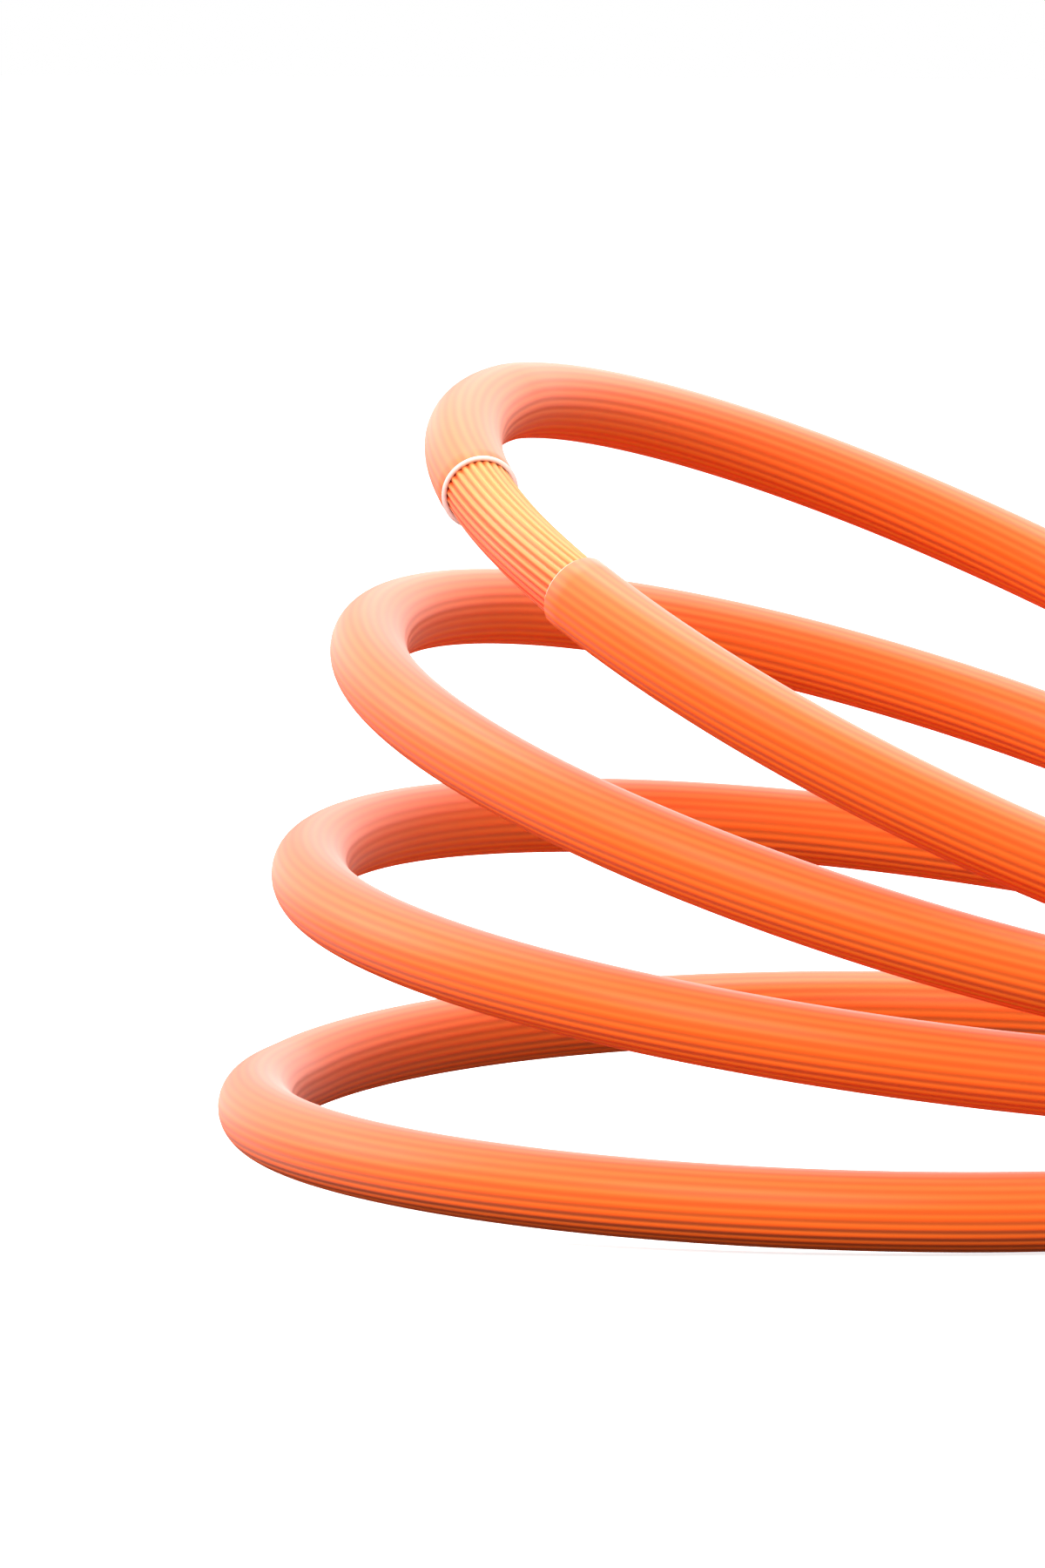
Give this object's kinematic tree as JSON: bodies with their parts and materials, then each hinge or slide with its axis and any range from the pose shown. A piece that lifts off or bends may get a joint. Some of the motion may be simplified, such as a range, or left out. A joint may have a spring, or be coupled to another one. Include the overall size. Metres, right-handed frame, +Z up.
{
  "type": "fiber optic patch cord",
  "caption": "Simplex fiber optic patch cord coiled in fanned turns and tied, with push-pull square connectors, ceramic ferrules and an open jacket window.",
  "frame": {"origin": "on the surface that the cord lies on, midway between the two connectors", "axes": "+X out of the ferrules, +Y from connector a to connector b, +Z up"},
  "size_m": [0.1298, 0.0503, 0.032],
  "materials": {
    "jacket": "clear orange PVC, smooth and glossy, the ribbed layer shows through it",
    "ribbed_layer": "bright orange strands laid side by side along the cable, glossy",
    "buffer": "smooth tight buffer over the glass fiber",
    "strap": "woven hook-and-loop tape",
    "grip": "moulded, fine texture",
    "frame": "moulded, smooth",
    "ceramic": "polished zirconia",
    "collar": "turned metal",
    "spring": "drawn steel wire",
    "crimp_body": "nickel-plated, knurled stem",
    "guide": "thin extruded tube",
    "crimp_ring": "crimped sleeve",
    "boot": "soft moulded rubber with slots"
  },
  "bodies": {
    "cord": {"jacket_a": "jacket", "jacket_b": "jacket", "strength_layer": "ribbed_layer", "buffered_fiber": "buffer", "tie_strap": "strap", "plug_frame_a": "frame", "spring_a": "spring", "crimp_body_a": "crimp_body", "guide_tube_a": "guide", "crimp_ring_a": "crimp_ring", "boot_a": "boot", "plug_frame_b": "frame", "spring_b": "spring", "crimp_body_b": "crimp_body", "guide_tube_b": "guide", "crimp_ring_b": "crimp_ring", "boot_b": "boot"},
    "grip_a": {"grip_a": "grip"},
    "ferrule_a": {"ferrule_a": "ceramic", "ferrule_collar_a": "collar"},
    "grip_b": {"grip_b": "grip"},
    "ferrule_b": {"ferrule_b": "ceramic", "ferrule_collar_b": "collar"}
  },
  "joints": [
    {"name": "grip_slide_a", "type": "slide", "parent": "cord", "child": "grip_a", "axis": [-1, 0, 0], "range_m": [0, 0.0019]},
    {"name": "ferrule_float_a", "type": "slide", "parent": "cord", "child": "ferrule_a", "axis": [-1, 0, 0], "range_m": [0, 0.001], "stiffness_N_per_m": 800, "deforming": ["spring_a"]},
    {"name": "grip_slide_b", "type": "slide", "parent": "cord", "child": "grip_b", "axis": [-1, 0, 0], "range_m": [0, 0.0019]},
    {"name": "ferrule_float_b", "type": "slide", "parent": "cord", "child": "ferrule_b", "axis": [-1, 0, 0], "range_m": [0, 0.001], "stiffness_N_per_m": 800, "deforming": ["spring_b"]}
  ]
}
